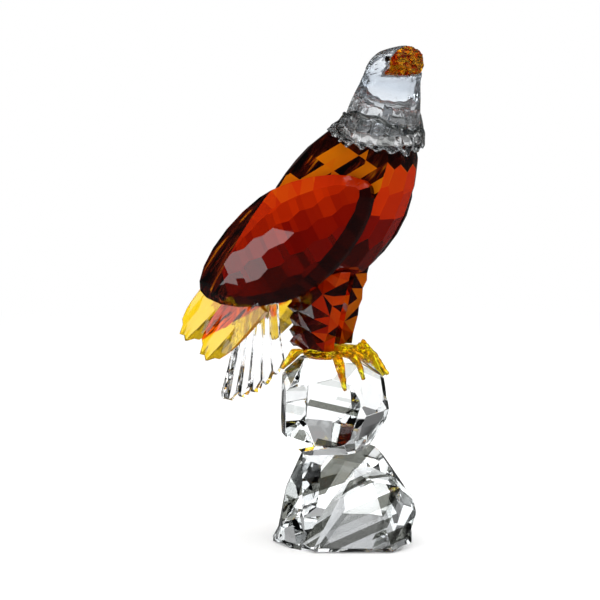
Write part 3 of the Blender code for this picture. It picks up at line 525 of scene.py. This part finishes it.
def applyModifier(piece, kind, **settings):
    step = piece.modifiers.new(kind.title(), kind)
    for key, value in settings.items():
        setattr(step, key, value)
    bpy.ops.object.modifier_apply(modifier=step.name)


def pushRelief(piece, grain, depth, middle, group=""):
    relief = bpy.data.textures.new(piece.name + "Relief", "CLOUDS")
    relief.noise_scale = grain
    relief.noise_depth = 1
    applyModifier(piece, "DISPLACE", texture=relief, texture_coords="LOCAL", strength=depth,
                  mid_level=middle, vertex_group=group)


def finishPiece(piece, node, material):
    piece.data.materials.clear()
    piece.data.materials.append(finish[material])
    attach(piece, "root")
    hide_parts(node)


# Ground stones: flat facets whose edges are lightly eased, so that each edge catches a line of light
groundStone = {"flatWithin": 0.4, "edgeEase": 0.12 * mm, "easedOver": 3}  # the angles in degrees
groundStones = {
    "rock_base_back": ("leadCrystalPaintedShards", "rock_base"),
    "rock_base_front": ("leadCrystalPaintedShards", "rock_base"),
    "boulder": ("leadCrystalPaintedShards", "boulder"),
    "tail": ("clearLeadCrystal", "tail"),
    "body": ("amberLeadCrystal", "body"),
    "wing_right": ("redAmberLeadCrystal", "wing"),
    "wing_left": ("redAmberLeadCrystal", "wing"),
    "wing_feather_inner_right": ("innerFusedAmberYellowCrystal", "wing_feather"),
    "wing_feather_inner_left": ("innerFusedAmberYellowCrystal", "wing_feather"),
    "wing_feather_outer_right": ("outerFusedAmberYellowCrystal", "wing_feather"),
    "wing_feather_outer_left": ("outerFusedAmberYellowCrystal", "wing_feather"),
}

# Each facet's own number comes from where it lies, through a sine that turns so fast that it looks random
luck = {"spread": (127.1, 311.7, 74.7), "turns": 9, "stir": 4375.85}

# How the right wing lies: its face, its length and what is across it, from its middle. zone is the band
# behind, painted dark with flashes, with its edge at corner on the middle line, leaning forward above and
# below. Each facet is painted
# a shade: a black rim, and dark at the bottom to bright orange at the top
wing = {
    "middle": Vector((-17.4, -18.4, 137.0)) * mm,
    "out": Vector((-0.068, -0.976, 0.208)),
    "along": Vector((0.835, 0.059, 0.548)),
    "across": Vector((-0.547, 0.211, 0.811)),
    "zone": {"corner": -31 * mm, "above": 1.55, "below": 0.27},
    "rimFacing": 0.8,  # a facet that faces out less than this is of the rim, painted black,
    "rimRising": 0.2,  # where it faces up less than this too
    "rimTones": [0.02, 0.06],  # the least, and what chance adds
    "tones": (0.13, 0.82),  # painted shade at the bottom and the top
    "reach": (-19 * mm, 25 * mm),
    "forward": 0.2,  # how much the painted light brightens to the front too
    "scatter": 0.13,
    "cell": 6.5 * mm,  # each facet shows two cells of the facets behind it, each cell painted its own shade
    "cells": 7,  # to each side of the middle
}

# The body's facets are painted shade: black and streaked up the back, flashing orange round the collar, and
# from orange down to dark red on the chest. Heights are of the figurine. Its flats, which the wings are
# cemented to, show slanting shards painted for the facets inside, in parallel cuts with their slant in
# degrees and their spacing
body = {
    "back": Vector((-0.807, 0, 0.59)),  # square to the back
    "backFacing": 0.42,  # a facet that faces that way more than this is painted black, as the back
    "backRagged": 0.3,  # and chance shifts that by up to half of this
    "backTone": (0.03, 0.9),  # a facet's painted shade and its share of painted flashes
    "flashBelow": 174 * mm,  # above this it is painted black, as shadow under the collar
    "flatFlashBelow": 176 * mm,
    "flashRagged": 9 * mm,
    "collarPaintedShadow": (0.02, 0.3),
    "flashTone": 0.96,  # the painted light of the flats' shards
    "flashScatter": 0.3,
    "darkShare": 0.46,  # of them
    "darkTone": (0.02, 0.9),
    "tones": (0.16, 0.9),  # painted shade of the chest, at the bottom and the top
    "reach": (132 * mm, 172 * mm),
    "scatter": 0.16,
    "foot": Vector((-31.8, 0, 157.3)) * mm,  # where the first cuts start, at the band painted dark along the back
    "cuts": ((33, 4.6 * mm), (-24, 12 * mm), (78, 15 * mm)),
    "count": 10,  # to each side of the foot
    "sideways": 0.93,  # a flat faces sideways more than this
    "uneven": 0,
}

# The clear stones: shards all over, unevenly spaced, of which some are painted dark and some grey, as shade
rock = {
    "foot": Vector((0, 0, 0)),
    "count": 30,
    "uneven": 0.36,  # how far a cut may be from its even place, as a share of the spacing
    "greyTone": 0.55,
}
rockShards = {
    "rock_base_front": {"cuts": ((27, 3.2 * mm), (80, 19 * mm)), "dark": 0.06, "grey": 0.3},
    "rock_base_back": {"cuts": ((62, 6 * mm), (20, 14 * mm)), "dark": 0.3, "grey": 0.3,
                       "clearUnder": (32 * mm, 1.04)},  # a slanting line, where the front stone's top is, painted white below it
    "boulder": {"cuts": ((-13, 2.3 * mm), (68, 17 * mm)), "dark": 0.06, "grey": 0.06},
}
shardBeat = 2.7  # how fast that swings from cut to cut


def chance(facet):  # each facet's own number from 0 to 1
    return math.sin(facet.center.dot(luck["spread"]) * luck["turns"]) * luck["stir"] % 1


def between(value, low, high):
    return min(max((value - low) / (high - low), 0), 1)


def wingPaintedShade(facet):
    right = Vector((1, math.copysign(1, -facet.center.y), 1))  # the left wing mirrors the right one
    spot = facet.center * right - wing["middle"]
    facing = facet.normal * right
    length, height = spot.dot(wing["along"]), spot.dot(wing["across"])
    zone = wing["zone"]
    slope = zone["above"] if height > 0 else zone["below"]
    inZone = length < zone["corner"] + slope * height
    if facing.dot(wing["out"]) < wing["rimFacing"] and not inZone:
        if facing.dot(wing["across"]) < wing["rimRising"]:
            least, more = wing["rimTones"]
            return least + more * chance(facet), 0
    low, high = wing["tones"]
    light = low + (high - low) * between(height + wing["forward"] * length, *wing["reach"])
    return light + wing["scatter"] * (chance(facet) - 0.5), 1 if inZone else 0


def bodyPaintedShade(facet):
    low, high = body["tones"]
    ragged = chance(facet) - 0.5
    onFlat = abs(facet.normal.y) > body["sideways"]
    if facet.center.z > body["flatFlashBelow" if onFlat else "flashBelow"] + body["flashRagged"] * ragged:
        return body["collarPaintedShadow"]
    if onFlat:
        slant = math.radians(body["cuts"][0][0])
        under = (facet.center - body["foot"]).dot((math.sin(slant), 0, -math.cos(slant)))
        if under < 0 or chance(facet) < body["darkShare"]:
            return body["darkTone"]
        return body["flashTone"] + body["flashScatter"] * ragged, 0
    if facet.normal.dot(body["back"]) > body["backFacing"] + body["backRagged"] * ragged:
        return body["backTone"]
    light = low + (high - low) * between(facet.center.z, *body["reach"])
    return light + body["scatter"] * ragged, 0


def rockPaintedShade(shards):
    def toneOf(facet):
        foot, slope = shards.get("clearUnder", (0, 0))
        if facet.center.z < foot + slope * facet.center.x:
            return 1, 0
        share = chance(facet)
        if share < shards["dark"]:
            return 0, 0
        return rock["greyTone"] if share < shards["dark"] + shards["grey"] else 1, 0

    return toneOf


# Each piece's painted shade: a tone for each facet, by where it lies and how it faces
paintedShadeRules = {"body": bodyPaintedShade, "wing_right": wingPaintedShade, "wing_left": wingPaintedShade}
paintedShadeRules.update({node: rockPaintedShade(shards) for node, shards in rockShards.items()})


# Stores each facet's painted shade and its share of painted flashes
def paintFacetShades(piece, toneOf):
    tones, streaks = [piece.data.attributes.new(name, "FLOAT", "FACE")
                      for name in ("paintedFacetShade", "paintedFacetFlashes")]
    for facet in piece.data.polygons:
        tones.data[facet.index].value, streaks.data[facet.index].value = toneOf(facet)


def breakFlats(piece, shards):  # into shards, by cuts that leave the shape as it is
    for slant, width in shards["cuts"]:
        across = Vector((-math.sin(math.radians(slant)), 0, math.cos(math.radians(slant))))
        for k in range(-shards["count"], shards["count"] + 1):
            if "sideways" in shards:
                bpy.ops.object.mode_set(mode="OBJECT")
                for face in piece.data.polygons:
                    face.select = abs(face.normal.y) > shards["sideways"]
                bpy.ops.object.mode_set(mode="EDIT")
            else:
                bpy.ops.mesh.select_all(action="SELECT")
            place = across * width * (k + shards["uneven"] * math.sin(k * shardBeat))
            bpy.ops.mesh.bisect(plane_co=shards["foot"] + place, plane_no=across)


def markZone(piece):  # cut the zone's edge and the cells' edges into the facets
    side = math.copysign(1, sum(v.co.y for v in piece.data.vertices))
    left = Vector((1, -side, 1))
    zone = wing["zone"]
    for slope in (zone["above"], zone["below"]):
        bpy.ops.mesh.select_all(action="SELECT")
        bpy.ops.mesh.bisect(plane_co=(wing["middle"] + wing["along"] * zone["corner"]) * left,
                            plane_no=(wing["along"] - wing["across"] * slope).normalized() * left)
    for k in range(-wing["cells"], wing["cells"] + 1):
        bpy.ops.mesh.select_all(action="SELECT")
        bpy.ops.mesh.bisect(plane_co=(wing["middle"] + wing["along"] * wing["cell"] * k) * left,
                            plane_no=wing["along"] * left)


def makeGroundStone(node, material):
    stone = copyNode(node, node + "_cut")
    bpy.ops.object.mode_set(mode="EDIT")
    bpy.ops.mesh.select_all(action="SELECT")
    bpy.ops.mesh.dissolve_limited(angle_limit=math.radians(groundStone["flatWithin"]))
    bpy.ops.mesh.select_mode(type="FACE")
    if node in ("wing_right", "wing_left"):
        markZone(stone)
    if node == "body":
        breakFlats(stone, body)
    if node in rockShards:
        breakFlats(stone, {**rock, **rockShards[node]})
    bpy.ops.object.mode_set(mode="OBJECT")
    applyModifier(stone, "BEVEL", width=groundStone["edgeEase"], segments=1, limit_method="ANGLE",
                  angle_limit=math.radians(groundStone["easedOver"]), use_clamp_overlap=True)
    if node in paintedShadeRules:
        paintFacetShades(stone, paintedShadeRules[node])
    finishPiece(stone, node, material)


for node, (material, slot) in groundStones.items():
    makeGroundStone(node, material)
print("stones ground:", len(groundStones))


# Legs: the same stone, chipped all over into small slanting facets, painted in shade: brown teeth behind,
# then a red panel, and shards of orange on black in front
legCut = {
    "skin": 0.6 * mm,
    "chip": 5 * mm,
    "depth": 1.4 * mm,
    "middle": 1,  # so that the chips all go inwards
    "facets": 190,
    "reach": (-15 * mm, 9 * mm),  # from its teeth to its front
    "teeth": 0.42,  # how far along that the teeth end
    "behind": -0.5,  # and what faces behind more than this is of the teeth too
    "teethTones": [0.05, 0.2],  # the least, and what chance adds
    "teethStreaks": 0.25,
    "panel": 0.6,  # and how far along the panel ends
    "panelTones": [0.46, 0.34],
    "blackShare": 0.42,
    "blackTones": [0.02, 0.1],
    "rightTones": [0.7, 0.1],
    "leftTones": [0.9, 0.1],  # the left leg's painted flashes are yellower
}


def legPaintedShade(facet):
    share = between(facet.center.x, *legCut["reach"])
    streaks = 0
    if facet.normal.x < legCut["behind"] or share < legCut["teeth"]:
        least, more = legCut["teethTones"]
        streaks = legCut["teethStreaks"]
    elif share < legCut["panel"]:
        least, more = legCut["panelTones"]
    elif chance(facet) > legCut["blackShare"]:
        least, more = legCut["leftTones" if facet.center.y > 0 else "rightTones"]
    else:
        least, more = legCut["blackTones"]
    return least + more * chance(facet), streaks


for node in ("leg_right", "leg_left"):
    leg = copyNode(node, node + "_cut")
    applyModifier(leg, "REMESH", mode="VOXEL", voxel_size=legCut["skin"])
    pushRelief(leg, legCut["chip"], legCut["depth"], legCut["middle"])
    applyModifier(leg, "DECIMATE", ratio=legCut["facets"] / (2 * len(leg.data.polygons)))
    bpy.ops.object.shade_flat()
    paintFacetShades(leg, legPaintedShade)
    finishPiece(leg, node, "legAmberLeadCrystal")
print("legs cut")


# Cast pieces: a refined copy of the solid in one closed skin, softened, with its relief pushed in and out.
# skin is the mesh size, soften how often it is smoothed, grain and depth the width and height of the relief,
# and seat is how near the beak's seat it stays crisp
castFoot = {"skin": 0.4 * mm, "soften": 4, "seat": 0, "grain": 2.8 * mm, "depth": 0.6 * mm,
            "material": "castYellowCrystal", "slot": "foot"}
castPieces = {
    "head": {"skin": 0.6 * mm, "soften": 30, "seat": 2.2 * mm, "grain": 9 * mm, "depth": 0.4 * mm,
             "material": "engravedLeadCrystal", "slot": "head"},
    "beak": {"skin": 0.35 * mm, "soften": 4, "seat": 0.7 * mm, "grain": 2.2 * mm, "depth": 1.6 * mm,
             "material": "castAmberCrystal", "slot": "beak"},
    "foot_right": castFoot,
    "foot_left": castFoot,
}
reliefMiddle = 0.7  # more of the relief goes in than out
beakSeat = {  # its corner, from the neck seat, and the way each of its two flats faces, in degrees
    "forward": 2.505 * mm, "up": 29.74 * mm, "facing": (-17, 97),
}
eyes = {  # from the neck seat too, and ring is the socket's edge, left crisp
    "forward": 3.8 * mm, "up": 37.5 * mm, "side": 9.3 * mm, "ring": 2.6 * mm,
}


def fromSeat(spot):
    corner = neck["seat"] + neck["forward"] * beakSeat["forward"] + neck["up"] * beakSeat["up"]
    turns = [math.radians(turn) for turn in beakSeat["facing"]]
    back, under = [(spot - corner).dot(neck["forward"] * math.cos(turn) + neck["up"] * math.sin(turn))
                   for turn in turns]
    return min(max(abs(back), -under), max(abs(under), -back))


def fromEye(spot):
    middle = neck["seat"] + neck["forward"] * eyes["forward"] + neck["up"] * eyes["up"]
    return min((spot - middle - Vector((0, side * eyes["side"], 0))).length for side in (1, -1))


def makeCastPiece(node, cast):
    piece = copyNode(node, node + "_cast")
    applyModifier(piece, "REMESH", mode="VOXEL", voxel_size=cast["skin"])
    free = piece.vertex_groups.new(name="free")
    free.add([v.index for v in piece.data.vertices if fromSeat(v.co) >= cast["seat"]
              and (node != "head" or fromEye(v.co) > eyes["ring"])], 1, "REPLACE")
    applyModifier(piece, "SMOOTH", iterations=cast["soften"], vertex_group="free")
    pushRelief(piece, cast["grain"], cast["depth"], reliefMiddle, "free")
    bpy.ops.object.shade_smooth()
    finishPiece(piece, node, cast["material"])


for node, cast in castPieces.items():
    makeCastPiece(node, cast)
print("cast pieces:", len(castPieces))


# Collar: the solid with rows of small curled leaves and a wavy lip cast onto it. Each row has its height
# above the neck seat and how far out it is, in front and at the sides, in mm. fall is how steeply its leaves
# hang and start is where its first leaf is, in degrees
collar = {
    "rows": [
        {"front": (3.6, 16.0), "side": (7.0, 15.8), "count": 15, "fall": 72, "start": 6},
        {"front": (0.6, 16.6), "side": (1.8, 17.2), "count": 16, "fall": 80, "start": 0},
    ],
    "lip": {"radius": 16.9, "tube": 0.8, "front": 6.4, "side": 12.6, "waves": 9, "swing": 0.6},  # in mm
    "sizes": [0.86, 0.28],  # the least size of a leaf, and how much more some have
    "sizeBeat": 2.4,  # how fast that swings from leaf to leaf
    "twist": 14,  # degrees
    "twistBeat": 1.7,
    "skin": 0.35 * mm,
    "soften": 2,
}
leafShape = {
    "length": 8.4 * mm,
    "width": 7.4 * mm,
    "thick": 3.2 * mm,
    "pinchBelow": -0.3,  # of half its length, where it narrows to a point
    "pinch": 0.72,
    "tipBelow": -0.95,  # and where its tip starts, which is turned outwards
    "curl": 0.8 * mm,  # how far outwards
    "droop": 0.8 * mm,  # and how far down
    "curlReach": 1.1,  # how far up the leaf that is felt
    "veinWidth": 0.2 * mm,
    "veinReach": 0.8,
    "veinDepth": 0.7 * mm,
}
# Painted shade of the collar's lip and leaves, for their sparkle
leafPaintedShades = {
    "inside": -0.2,  # a facet that faces inwards more than this is plain
    "lip": 0.12,
    "lipHeight": 1.6,  # in mm, as the height of a row is
    "rowHeight": 4,
    "leaves": [0.35, 0.65],  # the least, and how much more some have
    "beat": 2.1,  # how fast that swings from leaf to leaf
    "rowBeat": 0.5,
}


def selectVertices(piece, chosen):
    bpy.ops.object.mode_set(mode="EDIT")
    bpy.ops.mesh.select_all(action="DESELECT")
    bpy.ops.object.mode_set(mode="OBJECT")
    for vertex in piece.data.vertices:
        vertex.select = chosen(vertex.co)
    bpy.ops.object.mode_set(mode="EDIT")


def makeLeaf():  # along -Z, its face to +X
    bpy.ops.object.select_all(action="DESELECT")
    bpy.ops.mesh.primitive_uv_sphere_add(segments=12, ring_count=9, radius=0.5, location=(0, 0, 0))
    leaf = bpy.context.object
    leaf.name = leaf.data.name = "collarLeaf"
    leaf.scale = (leafShape["thick"], leafShape["width"], leafShape["length"])
    bpy.ops.object.transform_apply(location=False, rotation=False, scale=True)
    half = leafShape["length"] / 2
    bpy.ops.object.mode_set(mode="EDIT")
    bpy.ops.mesh.select_mode(type="VERT")
    selectVertices(leaf, lambda v: v.z < leafShape["pinchBelow"] * half)
    bpy.ops.transform.resize(value=(1, leafShape["pinch"], 1))
    selectVertices(leaf, lambda v: v.z < leafShape["tipBelow"] * half)
    bpy.ops.transform.translate(value=(leafShape["curl"], 0, -leafShape["droop"]), use_proportional_edit=True,
                                proportional_size=half * leafShape["curlReach"])
    selectVertices(leaf, lambda v: abs(v.y) < leafShape["veinWidth"] and v.x > 0
                   and abs(v.z) < leafShape["veinReach"] * half)
    bpy.ops.transform.translate(value=(-leafShape["veinDepth"], 0, 0))
    bpy.ops.object.mode_set(mode="OBJECT")
    return leaf


def lipHeight(turn):  # in mm above the neck seat, without its waves
    lip = collar["lip"]
    return lip["front"] + (lip["side"] - lip["front"]) * math.sin(turn) ** 2


def makeLip():  # a rounded wavy bead along the collar's upper edge
    lip = collar["lip"]
    bpy.ops.object.select_all(action="DESELECT")
    bpy.ops.mesh.primitive_torus_add(major_segments=96, minor_segments=8, major_radius=lip["radius"] * mm,
                                     minor_radius=lip["tube"] * mm, location=(0, 0, 0))
    bead = bpy.context.object
    for vertex in bead.data.vertices:
        turn = math.atan2(vertex.co.y, vertex.co.x)
        vertex.co.z += (lipHeight(turn) + lip["swing"] * math.sin(turn * lip["waves"])) * mm
    place = Matrix((neck["forward"], (0, 1, 0), neck["up"])).transposed().to_4x4()
    place.translation = neck["seat"]
    bead.data.transform(place)
    return bead


def leafPaintedShade(facet):  # painted shade: a dark lip, and leaves of different greys
    spot = facet.center - neck["seat"]
    ahead, height = spot.dot(neck["forward"]), spot.dot(neck["up"]) / mm
    turn = math.atan2(spot.y, ahead)
    outward = Vector((ahead, spot.y)).normalized()
    if outward.dot((facet.normal.dot(neck["forward"]), facet.normal.y)) < leafPaintedShades["inside"]:
        return 1, 0
    if height > lipHeight(turn) - leafPaintedShades["lipHeight"]:
        return leafPaintedShades["lip"], 0
    leafOf = math.floor(turn * collar["rows"][-1]["count"] / (2 * math.pi))
    rowOf = math.floor(height / leafPaintedShades["rowHeight"])
    least, more = leafPaintedShades["leaves"]
    return least + more * abs(math.sin(leafOf * leafPaintedShades["beat"] + leafPaintedShades["rowBeat"] * rowOf)), 0


def makeLeaves():
    leaf = makeLeaf()
    copies = []
    least, more = collar["sizes"]
    for row in collar["rows"]:
        for k in range(row["count"]):
            turn = math.radians(row["start"] + 360 * k / row["count"])
            sideways = math.sin(turn) ** 2
            rise, out = [row["front"][i] + (row["side"][i] - row["front"][i]) * sideways for i in (0, 1)]
            face = neck["forward"] * math.cos(turn) + Vector((0, math.sin(turn), 0))
            across = neck["up"].cross(face)
            place = Matrix((face, across, neck["up"])).transposed().to_4x4()
            place.translation = neck["seat"] + face * out * mm + neck["up"] * rise * mm
            grow = least + more * math.sin(k * collar["sizeBeat"] + row["count"]) ** 2  # no two are alike
            twist = math.radians(collar["twist"]) * math.sin(k * collar["twistBeat"])
            copy = leaf.copy()
            copy.data = leaf.data.copy()
            bpy.context.scene.collection.objects.link(copy)
            copy.data.transform(place @ Matrix.Rotation(twist, 4, "X")
                                @ Matrix.Rotation(math.radians(row["fall"] - 90), 4, "Y")
                                @ Matrix.Diagonal((grow, grow, grow, 1)))
            copies.append(copy)
    bpy.data.objects.remove(leaf)
    return copies


def makeCollar():
    skirt = copyNode("collar", "collar_cast")
    lip = makeLip()
    leaves = makeLeaves()
    bpy.ops.object.select_all(action="DESELECT")
    for piece in [skirt, lip] + leaves:
        piece.select_set(True)
    bpy.context.view_layer.objects.active = skirt
    bpy.ops.object.join()
    applyModifier(skirt, "REMESH", mode="VOXEL", voxel_size=collar["skin"])
    applyModifier(skirt, "SMOOTH", iterations=collar["soften"])
    bpy.ops.object.shade_smooth()
    paintFacetShades(skirt, leafPaintedShade)
    finishPiece(skirt, "collar", "castClearCrystal")


makeCollar()
print("collar cast")

for node in ("eye_right", "eye_left"):
    frame["nodes"][node].data.materials.clear()
    frame["nodes"][node].data.materials.append(finish["jetBead"])

addCamera()
addFloor()
addDome()
addSoftboxes()
scene = bpy.context.scene
scene.view_settings.view_transform = "Standard"
scene.view_settings.look = "None"
scene.cycles.max_bounces = 32
scene.cycles.transmission_bounces = 32
scene.cycles.glossy_bounces = 8
scene.cycles.diffuse_bounces = 2
print("dressed")
